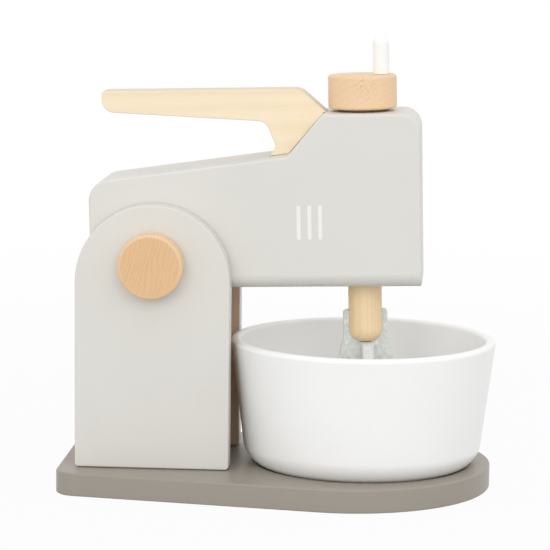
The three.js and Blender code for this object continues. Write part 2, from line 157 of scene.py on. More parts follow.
base_low, base_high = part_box("base_plate")
bowl_low, bowl_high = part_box("bowl")
bowl_axis = Vector(((bowl_low.x + bowl_high.x) / 2, 0, 0))
base_round_radius = 76.18 * mm
base_round_setback = 7 * mm
base_rear_half = 51.3 * mm
base_corner_radius = 12 * mm
base_edge_radius = 0.9 * mm
base_seat_radius = 58.6 * mm
base_seat_rim = 0.5 * mm
base_round_steps = 160
base_corner_steps = 20
arc_steps_per_mm = 2
fewest_arc_steps = 3
most_arc_steps = 24
sharp_angle = math.radians(32)
touching = 0.001 * mm


def round_corner(bm, vert, radius, steps=None):
    """Rounds a corner of a flat face, in steps of about half a millimetre unless their number is given."""
    before, after = (edge.other_vert(vert).co - vert.co for edge in vert.link_edges)
    inside = before.angle(after)
    if steps is None:
        steps = math.ceil(radius / mm * (math.pi - inside) * arc_steps_per_mm)
        steps = min(max(steps, fewest_arc_steps), most_arc_steps)
    bmesh.ops.bevel(bm, geom=[vert], offset=radius / math.tan(inside / 2), offset_type="OFFSET",
                    segments=steps, profile=0.5, affect="VERTICES", material=-1)


def made_verts(result):
    """The vertices among what an operator made."""
    return [part for part in result["geom"] if isinstance(part, bmesh.types.BMVert)]


def lifted(bm, face, way):
    """Makes a board of a flat face."""
    made = bmesh.ops.extrude_face_region(bm, geom=[face], use_keep_orig=True)
    bmesh.ops.translate(bm, verts=made_verts(made), vec=way)
    bmesh.ops.recalc_face_normals(bm, faces=bm.faces)


def opening(bm, spot, radius, steps=64):
    """A round opening in the flat face that holds the spot. Gives the edges round it."""
    flat = [face for face in bm.faces if abs((spot - face.verts[0].co).dot(face.normal)) < touching
            and bmesh.geometry.intersect_face_point(face, spot)]
    face = max(flat, key=lambda found: found.calc_area())
    turn = face.normal.to_track_quat("Z", "Y").to_matrix().to_4x4()
    ring = bmesh.ops.create_circle(bm, segments=steps, radius=radius,
                                   matrix=Matrix.Translation(spot) @ turn)["verts"]
    ring_edges = list(dict.fromkeys(edge for vert in ring for edge in vert.link_edges))
    bmesh.ops.triangle_fill(bm, edges=list(face.edges) + ring_edges, use_beauty=True,
                            use_dissolve=False, normal=face.normal)
    bmesh.ops.delete(bm, geom=[face], context="FACES_ONLY")
    return ring_edges


def soft_edges(bm, edges, radius, steps=4):
    """Rounds edges, and notes which faces stay flat."""
    bmesh.ops.bevel(bm, geom=list(edges), offset=radius, offset_type="OFFSET", segments=steps,
                    profile=0.5, affect="EDGES", clamp_overlap=True, material=-1,
                    face_strength_mode="ALL")


def sharp_edges(bm):
    """The edges where two faces meet at more than a slight angle."""
    return [edge for edge in bm.edges if edge.is_manifold and edge.calc_face_angle() > sharp_angle]


def finish_piece(bm, name, material, body, nodes=()):
    """Puts a mesh in the scene as a smooth piece that rides on a body, for the nodes it replaces."""
    bmesh.ops.recalc_face_normals(bm, faces=bm.faces)
    for face in bm.faces:
        face.smooth = True
    for edge in sharp_edges(bm):
        edge.smooth = False
    mesh = bpy.data.meshes.new(name)
    bm.to_mesh(mesh)
    bm.free()
    mesh.materials.append(material)
    piece = bpy.data.objects.new(name, mesh)
    bpy.context.scene.collection.objects.link(piece)
    evened = piece.modifiers.new("evened_faces", "WEIGHTED_NORMAL")
    evened.keep_sharp = True
    evened.use_face_influence = True
    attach(piece, body)
    if nodes:
        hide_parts(*nodes)


def toned(colour, share):
    """The same colour, a little darker or lighter."""
    return tuple(min(value * share, 1) for value in colour[:3]) + (1,)


def paint_finish(name, tint, roughness, grain_stretch=(1, 1, 0.06), grain_share=0.25):
    """Satin paint sprayed on wood: a fine orange peel over faint grain, with slight clouds of tone."""
    material, shader = new_finish(name, roughness)
    place = placed(material)
    clouds = noise(material, place, scale=18, detail=2)
    grain = noise(material, placed(material, stretch=grain_stretch), scale=900, detail=4, rough=0.65)
    peel = noise(material, place, scale=1400, detail=2)
    tone = join(material, "Mix", {0: grain_share, 2: clouds, 3: grain}, data_type="FLOAT").outputs[0]
    colour = blended(material, spread(material, tone), toned(tint, share=0.975), toned(tint, share=1.015))
    grain_relief = relief(material, grain, depth=0.05 * mm, strength=0.6)
    wear(material, shader, Base_Color=colour,
         Roughness=spread(material, peel, roughness - 0.06, roughness + 0.06),
         Normal=relief(material, peel, depth=0.03 * mm, strength=0.6, under=grain_relief))
    return material


taupe_paint = paint_finish("taupe_satin_paint", screen_colour(157, 149, 139), roughness=0.4,
                           grain_stretch=(0.05, 1, 1), grain_share=0.6)


def base_board():
    """A board whose straight sides touch the arc of its round end, with the bowl's seat sunk in its top."""
    bm = bmesh.new()
    end = bowl_axis - Vector((base_round_setback, 0, 0))
    corner = Vector((base_low.x, -base_rear_half, 0))
    away = corner - end
    touch = math.atan2(away.y, away.x) + math.acos(base_round_radius / away.length)
    start = end + base_round_radius * Vector((math.cos(touch), math.sin(touch), 0))
    first = bm.verts.new(start)
    bmesh.ops.spin(bm, geom=[first], cent=end, axis=(0, 0, 1), angle=-2 * touch, steps=base_round_steps,
                   use_merge=False, use_duplicate=False)
    arc = list(bm.verts)
    rear = [bm.verts.new((corner.x, side * corner.y, 0)) for side in (-1, 1)]
    bm.faces.new(arc + rear)
    for vert in rear:
        round_corner(bm, vert, base_corner_radius, base_corner_steps)
    bm.faces.ensure_lookup_table()
    lifted(bm, bm.faces[0], Vector((0, 0, base_high.z)))
    soft_edges(bm, sharp_edges(bm), base_edge_radius)
    rim = opening(bm, bowl_axis + Vector((0, 0, base_high.z)), base_seat_radius, base_round_steps)
    wall = bmesh.ops.extrude_edge_only(bm, edges=rim)
    sunk = made_verts(wall)
    bmesh.ops.translate(bm, verts=sunk, vec=(0, 0, bowl_low.z - base_high.z))
    seat_ring = [part for part in wall["geom"] if isinstance(part, bmesh.types.BMEdge)
                 and all(vert in sunk for vert in part.verts)]
    bmesh.ops.contextual_create(bm, geom=seat_ring)
    soft_edges(bm, [edge for edge in rim if edge.is_valid], base_seat_rim, steps=3)
    return bm


finish_piece(base_board(), "base_board", taupe_paint, "stand", ["base_plate"])

# Spacer block: a bare wood block between the cheeks that ties them together. The head lies on the front
# of its top, and stops against its steep rear face when it is tipped back. Two dowels pin it.

joints = {joint["name"]: joint for joint in frame["joints"]}
axle = Vector(joints["head_tilt"]["pos_m"])
tilt_range = math.radians(joints["head_tilt"]["range_deg"][1])
crank_axis = joints["crank_spin"]["axis"]
rest_lean = math.atan2(-crank_axis[0], crank_axis[2])
spacer_low, spacer_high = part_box("spacer_block")
spacer_stop_drop = 15.3 * mm
spacer_step_drop = 38.11 * mm
spacer_edge_radius = 1 * mm
bare_pith = (0, 60 * mm, 70 * mm)
wave_rate = 20
fleck_blur = 0.08
fleck_core_share = 0.6


def wood_finish(name, light, dark, fleck, turn, pith, ring_gap=2.6 * mm, ring_share=0.5, ring_wobble=5.0,
                fleck_share=0.5, fleck_from=0.66, fleck_heart=None, fleck_reach=0.0, roughness=0.55):
    """Planed wood, bare or under a clear matt lacquer: growth rings round a far pith, fine fibres, and
    short flecks along them that can be kept round one heart. A Wave node runs 20 radians a unit."""
    material, shader = new_finish(name, roughness)
    along = placed(material, pith, turn, stretch=(1, 1, 0.1))
    fibre_place = placed(material, pith, turn, stretch=(1, 1, 0.018))
    fleck_place = placed(material, pith, turn, stretch=(1, 1, 0.14))
    rings = join(material, "TexWave", {"Vector": along, "Scale": 2 * math.pi / (wave_rate * ring_gap),
                                       "Distortion": ring_wobble, "Detail": 3.0, "Detail Scale": 0.35,
                                       "Detail Roughness": 0.55},
                 wave_type="RINGS", rings_direction="Z", wave_profile="SIN").outputs["Fac"]
    clouds = noise(material, along, scale=60)
    fibres = noise(material, fibre_place, scale=1500, detail=5, rough=0.65)
    flecks = noise(material, fleck_place, scale=1500, detail=1, rough=0.4)
    tone = join(material, "Math", {0: rings, 1: clouds}, operation="MULTIPLY").outputs[0]
    ring_tone = between(material, tone, low=0.05, high=0.6, high_to=ring_share)
    fibre_tone = between(material, fibres, low=0.35, high=0.7, high_to=0.35)
    colour = blended(material, fibre_tone, blended(material, ring_tone, light, dark), dark)
    spots = between(material, flecks, fleck_from, fleck_from + fleck_blur, high_to=fleck_share)
    if fleck_heart is not None:
        away = join(material, "VectorMath", {0: placed(material, fleck_heart)}, operation="LENGTH")
        near = between(material, away.outputs["Value"], fleck_reach, fleck_core_share * fleck_reach)
        spots = join(material, "Math", {0: spots, 1: near}, operation="MULTIPLY").outputs[0]
    fibre_relief = relief(material, fibres, depth=0.06 * mm, strength=0.6)
    wear(material, shader, Base_Color=blended(material, spots, colour, fleck),
         Roughness=spread(material, fibres, roughness - 0.08, roughness + 0.1),
         Normal=relief(material, spots, depth=0.04 * mm, strength=0.5, under=fibre_relief))
    return material


bare_wood = wood_finish("bare_wood", screen_colour(214, 184, 156), screen_colour(184, 149, 118),
                        screen_colour(146, 108, 80), turn=(0, math.radians(90), 0), pith=bare_pith)
dress(["spacer_dowel_1", "spacer_dowel_2"], bare_wood)


def flat_face(bm, corners):
    """One flat face from its corners, each with the radius that it is rounded to."""
    verts = [bm.verts.new(spot) for spot, radius in corners]
    bm.faces.new(verts)
    for vert, (spot, radius) in zip(verts, corners):
        if radius > 0:
            round_corner(bm, vert, radius)
    bm.faces.ensure_lookup_table()
    return bm.faces[0]


def sawn_board(corners, front_y, thickness):
    """A board sawn to an outline, from corners of x, z and rounding."""
    bm = bmesh.new()
    face = flat_face(bm, [(Vector((x, front_y, z)), rounding) for x, z, rounding in corners])
    lifted(bm, face, Vector((0, thickness, 0)))
    return bm


def spacer():
    """A block whose top lies under the head's floor at rest, and whose steep rear face meets it when the
    head is tipped back. The two run together in a ridge below the axle."""
    front_drop = spacer_stop_drop / math.cos(rest_lean)
    front_z = axle.z + (spacer_high.x - axle.x) * math.tan(rest_lean) - front_drop
    ridge_lean = rest_lean + tilt_range / 2
    ridge_reach = spacer_stop_drop / math.cos(tilt_range / 2)
    tipped = rest_lean + tilt_range
    step_x = axle.x + (spacer_stop_drop - spacer_step_drop * math.cos(tipped)) / math.sin(tipped)
    step_z = axle.z - spacer_step_drop
    bm = sawn_board([
        (spacer_low.x, base_high.z, 0),
        (spacer_high.x, base_high.z, 0),
        (spacer_high.x, front_z, 0),
        (axle.x + ridge_reach * math.sin(ridge_lean), axle.z - ridge_reach * math.cos(ridge_lean), 0),
        (step_x, step_z, 0),
        (spacer_low.x, step_z, 0),
    ], spacer_low.y, spacer_high.y - spacer_low.y)
    soft_edges(bm, sharp_edges(bm), spacer_edge_radius, steps=3)
    return bm


finish_piece(spacer(), "stop_block", bare_wood, "stand", ["spacer_block"])

# Cheeks: two boards with half-round tops that carry the axle. They are sprayed pale grey outside and on
# their edges, and left bare on the inner faces, where the head and the spacer block go.

front_cheek_low, front_cheek_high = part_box("front_cheek")
cheek_radius = 41 * mm
cheek_edge_radius = 0.8 * mm
cheek_foot_radius = 1.8 * mm
cheek_groove_height = 0.4 * mm
cheek_groove_depth = 1.5 * mm
cheek_bare_reach = 25.9 * mm
cheek_paint_fade = 0.1 * mm
axle_bore_radius = 6.4 * mm
grey_tint = screen_colour(222, 220, 214)
grey_roughness = 0.46
cheek_wood_light = screen_colour(220, 197, 178)
cheek_wood_dark = screen_colour(193, 165, 142)


def from_middle(material):
    """How far a point lies from the upright plane through the middle of the mixer."""
    place = join(material, "TexCoord", {}).outputs["Object"]
    across = join(material, "SeparateXYZ", {"Vector": place}).outputs["Y"]
    return join(material, "Math", {0: across}, operation="ABSOLUTE").outputs[0]


def overlay(material, amount, colour):
    """Lays a colour over the one that a finish has, by an amount."""
    shader = material.node_tree.nodes["Principled BSDF"]
    under = shader.inputs["Base Color"].links[0].from_socket
    wear(material, shader, Base_Color=blended(material, amount, under, colour))


def half_bare_finish():
    """Grey paint that ends where the inner faces begin, and bare wood on those."""
    material = paint_finish("grey_paint_over_bare_wood", grey_tint, grey_roughness)
    bare = between(material, from_middle(material), cheek_bare_reach + cheek_paint_fade, cheek_bare_reach)
    grain = noise(material, placed(material, stretch=(1, 1, 0.05)), scale=700, detail=4)
    overlay(material, bare, blended(material, grain, cheek_wood_light, cheek_wood_dark))
    return material


cheek_paint = half_bare_finish()


def rims_a_face(edge):
    """Whether an edge of a board goes round one of its faces, not through its thickness."""
    return abs(edge.verts[0].co.y - edge.verts[1].co.y) < mm


def through_hole(bm, start, end, radius):
    """A round hole from one flat face to another."""
    rims = opening(bm, start, radius) + opening(bm, end, radius)
    bmesh.ops.bridge_loops(bm, edges=rims)


def cheek_board(side):
    """A board with a half-round top, a fine groove round its foot and a bore for the axle."""
    bm = bmesh.new()
    outer = -side * front_cheek_low.y
    inner = -side * front_cheek_high.y
    crown = Vector((axle.x, outer, front_cheek_high.z - cheek_radius))
    first = bm.verts.new((front_cheek_high.x, outer, crown.z))
    bmesh.ops.spin(bm, geom=[first], cent=crown, axis=(0, -1, 0), angle=math.pi, steps=96,
                   use_merge=False, use_duplicate=False)
    arc = list(bm.verts)
    foot_z = base_high.z + cheek_groove_height
    feet = [bm.verts.new((x, outer, foot_z)) for x in (front_cheek_low.x, front_cheek_high.x)]
    bm.faces.new(arc + feet)
    bmesh.ops.bevel(bm, geom=feet, offset=cheek_foot_radius, offset_type="OFFSET", segments=6,
                    profile=0.5, affect="VERTICES", material=-1)
    bm.faces.ensure_lookup_table()
    lifted(bm, bm.faces[0], Vector((0, inner - outer, 0)))
    soft_edges(bm, [edge for edge in sharp_edges(bm) if rims_a_face(edge)], cheek_edge_radius)
    foot = min(bm.faces, key=lambda face: face.calc_center_median().z)
    bmesh.ops.inset_region(bm, faces=[foot], thickness=cheek_groove_depth, use_even_offset=True)
    sole = made_verts(bmesh.ops.extrude_face_region(bm, geom=[foot]))
    bmesh.ops.translate(bm, verts=sole, vec=(0, 0, -cheek_groove_height))
    bmesh.ops.delete(bm, geom=[foot], context="FACES_ONLY")
    through_hole(bm, Vector((axle.x, outer, axle.z)), Vector((axle.x, inner, axle.z)), axle_bore_radius)
    return bm


finish_piece(cheek_board(-1), "front_cheek_board", cheek_paint, "stand", ["front_cheek"])
finish_piece(cheek_board(1), "rear_cheek_board", cheek_paint, "stand", ["rear_cheek"])

# Bowl: one turned piece with a leaning wall, a soft rim and round corners inside and out, sprayed with
# white satin paint. It stands loose in the seat of the base.

bowl_radius = 71.08 * mm
bowl_height = bowl_high.z - bowl_low.z
bowl_wall_lean = math.radians(7.34)
bowl_rim_width = 5.6 * mm
bowl_rim_radius = 2.2 * mm
bowl_corner_radius = 14 * mm
bowl_inner_corner_radius = 11 * mm
bowl_floor = 6 * mm
white_paint = paint_finish("white_satin_paint", screen_colour(250, 250, 249), roughness=0.34)


def lies_at(edge, axis, value):
    """Whether both ends of an edge have the same given x, y or z."""
    return all(abs(getattr(vert.co, axis) - value) < touching for vert in edge.verts)


def turned_piece(corners, axis_place, steps):
    """A closed body turned about an upright axis, from corners of radius, height and rounding."""
    bm = bmesh.new()
    flat_face(bm, [(Vector((radius, 0, height)), rounding) for radius, height, rounding in corners])
    bmesh.ops.delete(bm, geom=list(bm.faces), context="FACES_ONLY")
    on_axis = [edge for edge in bm.edges if lies_at(edge, "x", 0)]
    bmesh.ops.delete(bm, geom=on_axis, context="EDGES")
    bmesh.ops.spin(bm, geom=list(bm.verts) + list(bm.edges), cent=(0, 0, 0), axis=(0, 0, 1),
                   angle=2 * math.pi, steps=steps, use_merge=True, use_duplicate=False)
    bmesh.ops.remove_doubles(bm, verts=bm.verts, dist=touching)
    bmesh.ops.recalc_face_normals(bm, faces=bm.faces)
    bmesh.ops.transform(bm, matrix=axis_place, verts=bm.verts)
    return bm


def bowl_shell():
    """A wall that leans out alike inside and outside, with a round rim and round corners at its foot."""
    slope = math.tan(bowl_wall_lean)
    top = bowl_radius + bowl_rim_radius * slope
    inner_top = top - bowl_rim_width
    return turned_piece([
        (0, 0, 0),
        (top - bowl_height * slope, 0, bowl_corner_radius),
        (top, bowl_height, bowl_rim_radius),
        (inner_top, bowl_height, bowl_rim_radius),
        (inner_top - (bowl_height - bowl_floor) * slope, bowl_floor, bowl_inner_corner_radius),
        (0, bowl_floor, 0),
    ], Matrix.Translation(bowl_axis + Vector((0, 0, bowl_low.z))), steps=192)


finish_piece(bowl_shell(), "turned_bowl", white_paint, "bowl", ["bowl"])

# Tilt axle and knobs: a beech dowel through cheeks and head, with a turned beech knob glued on each end.
# The knobs are cut from board, so fine grain runs up their faces, and have a clear matt lacquer; their rims
# carry a painted highlight.

knob_radius = 17.15 * mm
knob_thickness = 10.8 * mm
knob_edge_radius = 1.6 * mm
knob_inner_y = 38.6 * mm
# Painted highlight on the knobs: their rounded rims are painted paler between these two radii, by this
# share.
knob_rim_highlight_start = knob_radius - 2 * mm
knob_rim_highlight_end = knob_radius - 0.6 * mm
knob_rim_highlight_share = 0.75
knob_pith = axle + Vector((-26 * mm, -49 * mm, 14 * mm))
beech_light = screen_colour(232, 192, 147)
beech_dark = screen_colour(212, 164, 116)
beech_fleck = screen_colour(176, 126, 84)
# The colour of the painted highlight on the knobs' rims.
beech_rim_highlight = screen_colour(240, 207, 166)
knob_beech = wood_finish("knob_beech", beech_light, beech_dark, beech_fleck,
                         turn=(math.radians(30), math.radians(8), 0), pith=tuple(knob_pith),
                         ring_gap=2 * mm, ring_share=0.3, ring_wobble=16.0, fleck_share=0.12,
                         roughness=0.5)
dress(["tilt_axle"], knob_beech)


def highlit_knob_finish():
    """The beech of the knobs, with a painted highlight: a paler ring over their rounded rims."""
    material = knob_beech.copy()
    flat = placed(material, tuple(axle), stretch=(1, 0, 1))
    reach = join(material, "VectorMath", {0: flat}, operation="LENGTH").outputs["Value"]
    # This mask lays the painted highlight over the rims.
    rim = between(material, reach, knob_rim_highlight_start, knob_rim_highlight_end, high_to=knob_rim_highlight_share)
    overlay(material, rim, beech_rim_highlight)
    return material


# The knobs' beech with its painted rim highlight.
rim_highlit_beech = highlit_knob_finish()


def knob(side):
    """A short round knob, turned about the axle from its inner face outwards."""
    turn = Matrix.Rotation(side * -math.pi / 2, 4, "X")
    place = Matrix.Translation(axle + Vector((0, side * knob_inner_y, 0))) @ turn
    return turned_piece([
        (0, 0, 0),
        (knob_radius, 0, knob_edge_radius),
        (knob_radius, knob_thickness, knob_edge_radius),
        (0, knob_thickness, 0),
    ], place, steps=128)


finish_piece(knob(-1), "front_knob", rim_highlit_beech, "head", ["front_tilt_knob"])
finish_piece(knob(1), "rear_knob", rim_highlit_beech, "head", ["rear_tilt_knob"])

# Head: a solid block with a sloping back, a notch for the handle and a high front. Its lower edges are
# well rounded, the others slightly. It is sprayed pale grey, and rests with its nose a little up.

head_place = Matrix.Translation(axle) @ Matrix.Rotation(-rest_lean, 4, "Y")
head_half = 25.3 * mm
head_floor = -15 * mm
head_top = 76.8 * mm
head_front = 141 * mm
head_rear = -34.6 * mm
head_rear_top = 42.2 * mm
notch_foot = Vector((71 * mm, 0, 54.9 * mm))
notch_top = Vector((89.7 * mm, 0, 76.8 * mm))
head_rear_radius = 11 * mm
head_front_radius = 10 * mm
notch_top_radius = 3 * mm
head_keel_radius = 7.5 * mm
head_edge_radius = 1.2 * mm
spindle_x = 110 * mm
spindle_bore_radius = 9.4 * mm
grey_paint = paint_finish("pale_grey_satin_paint", grey_tint, grey_roughness, grain_stretch=(0.06, 1, 1))


def head_body():
    """The block from its side view, set out from the axle, with the bore for the spindle."""
    bm = sawn_board([
        (head_rear, head_floor, 0),
        (head_front, head_floor, 0),
        (head_front, head_top, head_front_radius),
        (notch_top.x, notch_top.z, notch_top_radius),
        (notch_foot.x, notch_foot.z, 0),
        (head_rear, head_rear_top, head_rear_radius),
    ], -head_half, 2 * head_half)
    keel = [edge for edge in bm.edges if lies_at(edge, "z", head_floor)
            and abs(edge.verts[0].co.x - edge.verts[1].co.x) > mm]
    soft_edges(bm, keel, head_keel_radius, steps=10)
    soft_edges(bm, sharp_edges(bm), head_edge_radius)
    low = Vector((spindle_x, 0, head_floor))
    through_hole(bm, low, Vector((spindle_x, 0, head_top)), spindle_bore_radius)
    bmesh.ops.transform(bm, matrix=head_place, verts=bm.verts)
    return bm


finish_piece(head_body(), "tilting_head", grey_paint, "head", ["head_block"])

# Stripes: three short upright bars of white paint on the front of the head, a plain ornament. They are
# sprayed through a stencil, so they have round ends and stand a hair proud.

stripe_places = (76.6 * mm, 82.3 * mm, 87.95 * mm)
stripe_width = 2 * mm
stripe_low = 11 * mm
stripe_high = 29.1 * mm
stripe_rise = 0.12 * mm
stripe_sink = 0.3 * mm
round_end_share = 0.98
stripe_paint = paint_finish("stripe_white_paint", screen_colour(243, 241, 238), roughness=0.4)


def stripe(x):
    """A bar whose ends are a little short of half circles, sunk a little way into the head."""
    half = stripe_width / 2
    corners = ((x - half, stripe_low), (x + half, stripe_low),
               (x + half, stripe_high), (x - half, stripe_high))
    bm = sawn_board([(corner_x, z, half * round_end_share) for corner_x, z in corners],
                    -head_half - stripe_rise, stripe_rise + stripe_sink)
    bmesh.ops.transform(bm, matrix=head_place, verts=bm.verts)
    return bm


for number, x in enumerate(stripe_places):
    finish_piece(stripe(x), f"painted_stripe_{number + 1}", stripe_paint, "head")

# Handle: a grip sawn from one board of pale wood, lacquered clear and not painted. Its leg and nose are
# glued and dowelled into the notch of the head, and its rear end is open. Its narrow faces carry painted
# shade.

handle_half = 8 * mm
handle_edge_radius = 1 * mm
handle_top = 89.3 * mm
handle_end = -28.6 * mm
handle_end_height = 11.2 * mm
handle_end_top_radius = 1.6 * mm
handle_end_low_radius = 6.5 * mm
handle_grip_height = 17.1 * mm
handle_grip_radius = 6 * mm
handle_leg_top = 58.8 * mm
handle_knee_x = 64.2 * mm
handle_knee_z = 58.4 * mm
handle_knee_radius = 4 * mm
handle_foot_x = 60.2 * mm
handle_foot_z = 53.8 * mm
handle_nose_x = 77.3 * mm
handle_nose_radius = 8 * mm
handle_tip_x = 91.1 * mm
glue_line = 0.05 * mm
# Painted shade on the handle: every face but the broad front and rear is painted greyer, fading in between
# these two distances from the middle, by this share.
handle_shade_start = handle_half - 0.02 * mm
handle_shade_end = handle_half - 0.15 * mm
handle_edge_shade_share = 0.9
handle_pith = (0, 90 * mm, 160 * mm)
pale_light = screen_colour(248, 232, 203)
pale_dark = screen_colour(241, 219, 184)
pale_fleck = screen_colour(226, 201, 158)
# The greyer colour of that painted shade on the handle's narrow faces.
pale_edge_shade = screen_colour(222, 212, 194)
handle_wood = wood_finish("handle_pale_wood", pale_light, pale_dark, pale_fleck,
                          turn=(0, math.radians(88), 0), pith=handle_pith, ring_gap=3.4 * mm,
                          ring_share=0.6, fleck_share=0.3)


def handle_finish():
    """The handle's wood, with painted shade: a greyer tone on every face but the broad front and rear ones.
    """
    material = handle_wood.copy()
    edge_shade = between(material, from_middle(material), handle_shade_start, handle_shade_end,
                   high_to=handle_edge_shade_share)
    # This mask lays the painted shade over the top, nose, underside and rounded edges.
    overlay(material, edge_shade, pale_edge_shade)
    return material


# The handle's wood with its painted shade.
edge_shaded_wood = handle_finish()
dress(["handle_dowel_1", "handle_dowel_2"], knob_beech)


def crossing(a, b, c, d):
    """Where the line a-b meets the line c-d, in the plane of the board."""
    way, other, apart = b - a, d - c, c - a
    share = (apart.x * other.z - apart.z * other.x) / (way.x * other.z - way.z * other.x)
    return a + way * share


def handle_board():
    """The handle from its side view. Its foot follows the head's slope, notch and top, a glue line off."""
    slope = (notch_foot - Vector((head_rear, 0, head_rear_top))).normalized()
    slope_out = Vector((-slope.z, 0, slope.x)) * glue_line
    notch = (notch_top - notch_foot).normalized()
    notch_out = Vector((-notch.z, 0, notch.x)) * glue_line
    knee = Vector((handle_knee_x, 0, handle_knee_z))
    foot = Vector((handle_foot_x, 0, handle_foot_z))
    on_slope = notch_foot + slope_out
    leg_foot = crossing(knee, foot, on_slope, on_slope - slope)
    inner = crossing(on_slope, on_slope - slope, notch_foot + notch_out, notch_top + notch_out)
    top = Vector((0, 0, head_top + glue_line))
    outer = crossing(notch_foot + notch_out, notch_top + notch_out, top, top + Vector((1, 0, 0)))
    bm = sawn_board([
        (leg_foot.x, leg_foot.z, 0),
        (inner.x, inner.z, 0),
        (outer.x, outer.z, 0),
        (handle_tip_x, top.z, 0),
        (handle_nose_x, handle_top, handle_nose_radius),
        (handle_end, handle_top, handle_end_top_radius),
        (handle_end, handle_top - handle_end_height, handle_end_low_radius),
        (handle_leg_top, handle_top - handle_grip_height, handle_grip_radius),
        (handle_knee_x, handle_knee_z, handle_knee_radius),
    ], -handle_half, 2 * handle_half)
    soft_edges(bm, [edge for edge in sharp_edges(bm) if rims_a_face(edge)
                    and not lies_at(edge, "z", top.z)], handle_edge_radius, steps=6)
    bmesh.ops.transform(bm, matrix=head_place, verts=bm.verts)
    return bm


finish_piece(handle_board(), "carry_handle", edge_shaded_wood, "head", ["handle"])

# Spindle, washer, disc and peg: the beech dowel runs through the head with a thin washer and a thick
# beech disc on top, and a white round-ended finger peg is glued off the disc's centre to crank it.

disc_floor = 78.2 * mm
disc_radius = 18.25 * mm
disc_thickness = 17.9 * mm
disc_edge_radius = 1.5 * mm
spindle_radius = 9 * mm
spindle_end = -47.2 * mm
spindle_end_radius = 7 * mm
spindle_tenon_radius = 5.5 * mm
spindle_tenon_top = 89.2 * mm
glue_gap = 0.3 * mm
slot_top = -29.5 * mm
slot_half = 1.8 * mm
beater_twist = math.radians(9)
peg_radius = 4.35 * mm
peg_foot_radius = 0.3 * mm
peg_offset = 10.05 * mm
peg_rise = 0.1 * mm
peg_foot = disc_floor + disc_thickness + peg_rise
peg_top = 116.29 * mm
crank_place = head_place @ Matrix.Translation((spindle_x, 0, 0))
beater_place = crank_place @ Matrix.Rotation(beater_twist, 4, "Z")
disc_pith = crank_place @ Vector((30 * mm, 50 * mm, 20 * mm))
disc_fleck_height = 0.68 * disc_thickness
disc_fleck_heart = crank_place @ Vector((2 * mm, -disc_radius, disc_floor + disc_fleck_height))
spindle_pith = crank_place @ Vector((30 * mm, 20 * mm, 0))
disc_beech = wood_finish("disc_beech", screen_colour(242, 210, 172), screen_colour(226, 188, 146),
                         screen_colour(186, 140, 98), turn=(math.radians(87), 0, math.radians(6)),
                         pith=tuple(disc_pith), ring_gap=3.4 * mm, ring_share=0.18, fleck_share=0.55,
                         fleck_from=0.58, fleck_heart=tuple(disc_fleck_heart), fleck_reach=8 * mm,
                         roughness=0.5)
spindle_beech = wood_finish("spindle_beech", screen_colour(251, 226, 185), screen_colour(236, 200, 150),
                            screen_colour(190, 150, 108), turn=(0, -rest_lean, 0),
                            pith=tuple(spindle_pith), ring_gap=2.2 * mm, ring_share=0.3,
                            fleck_share=0.2, roughness=0.5)
# Dull steel for the washer, toned darker and browner as painted shade, so that the narrow gap under the
# disc shows a warm shade line.
washer_shade_steel = steel_finish("washer_steel_painted_shade", screen_colour(132, 116, 98),
                            screen_colour(154, 138, 118), roughness=0.6)
dress(["crank_washer"], washer_shade_steel)


def slotted_dowel():
    """A turned dowel with a thinner top for the disc, cut open along a slot up from its round foot."""
    bm = turned_piece([
        (0, spindle_end, 0),
        (spindle_radius, spindle_end, spindle_end_radius),
        (spindle_radius, disc_floor - glue_gap, 0),
        (spindle_tenon_radius, disc_floor - glue_gap, 0),
        (spindle_tenon_radius, spindle_tenon_top, 0),
        (0, spindle_tenon_top, 0),
    ], Matrix.Identity(4), steps=96)
    for spot, way in (((0, slot_half, 0), (0, 1, 0)), ((0, -slot_half, 0), (0, 1, 0)),
                      ((0, 0, slot_top), (0, 0, 1))):
        bmesh.ops.bisect_plane(bm, geom=list(bm.verts) + list(bm.edges) + list(bm.faces),
                               dist=touching, plane_co=spot, plane_no=way)
    in_slot = [face for face in bm.faces if abs(face.calc_center_median().y) < slot_half
               and face.calc_center_median().z < slot_top]
    bmesh.ops.delete(bm, geom=in_slot, context="FACES")
    top_spots = [vert for vert in bm.verts if abs(vert.co.z - slot_top) < touching
                 and abs(abs(vert.co.y) - slot_half) < touching]
    for side in (-1, 1):
        bm.edges.new([vert for vert in top_spots if vert.co.y * side > 0])
    rims = [edge for edge in bm.edges if not edge.is_manifold]
    for side in (-1, 1):
        wall_rim = [edge for edge in rims if lies_at(edge, "y", side * slot_half)]
        bmesh.ops.triangle_fill(bm, edges=wall_rim, use_beauty=True, use_dissolve=False,
                                normal=(0, -side, 0))
    ceiling = [edge for edge in rims if lies_at(edge, "z", slot_top)]
    bmesh.ops.triangle_fill(bm, edges=ceiling, use_beauty=True, use_dissolve=False, normal=(0, 0, -1))
    bmesh.ops.transform(bm, matrix=beater_place, verts=bm.verts)
    return bm


def crank_disc():
    """A thick disc with rounded edges."""
    return turned_piece([
        (0, disc_floor, 0),
        (disc_radius, disc_floor, disc_edge_radius),
        (disc_radius, disc_floor + disc_thickness, disc_edge_radius),
        (0, disc_floor + disc_thickness, 0),
    ], crank_place, steps=128)


def finger_peg():
    """A round peg whose top is a little short of a half ball."""
    return turned_piece([
        (0, peg_foot, 0),
        (peg_radius, peg_foot, peg_foot_radius),
        (peg_radius, peg_top, peg_radius * round_end_share),
        (0, peg_top, 0),
    ], crank_place @ Matrix.Translation((peg_offset, 0, 0)), steps=64)


finish_piece(slotted_dowel(), "slotted_spindle", spindle_beech, "crank", ["spindle"])
finish_piece(crank_disc(), "turned_disc", disc_beech, "crank", ["crank_disc"])
finish_piece(finger_peg(), "finger_peg", white_paint, "crank", ["crank_peg"])

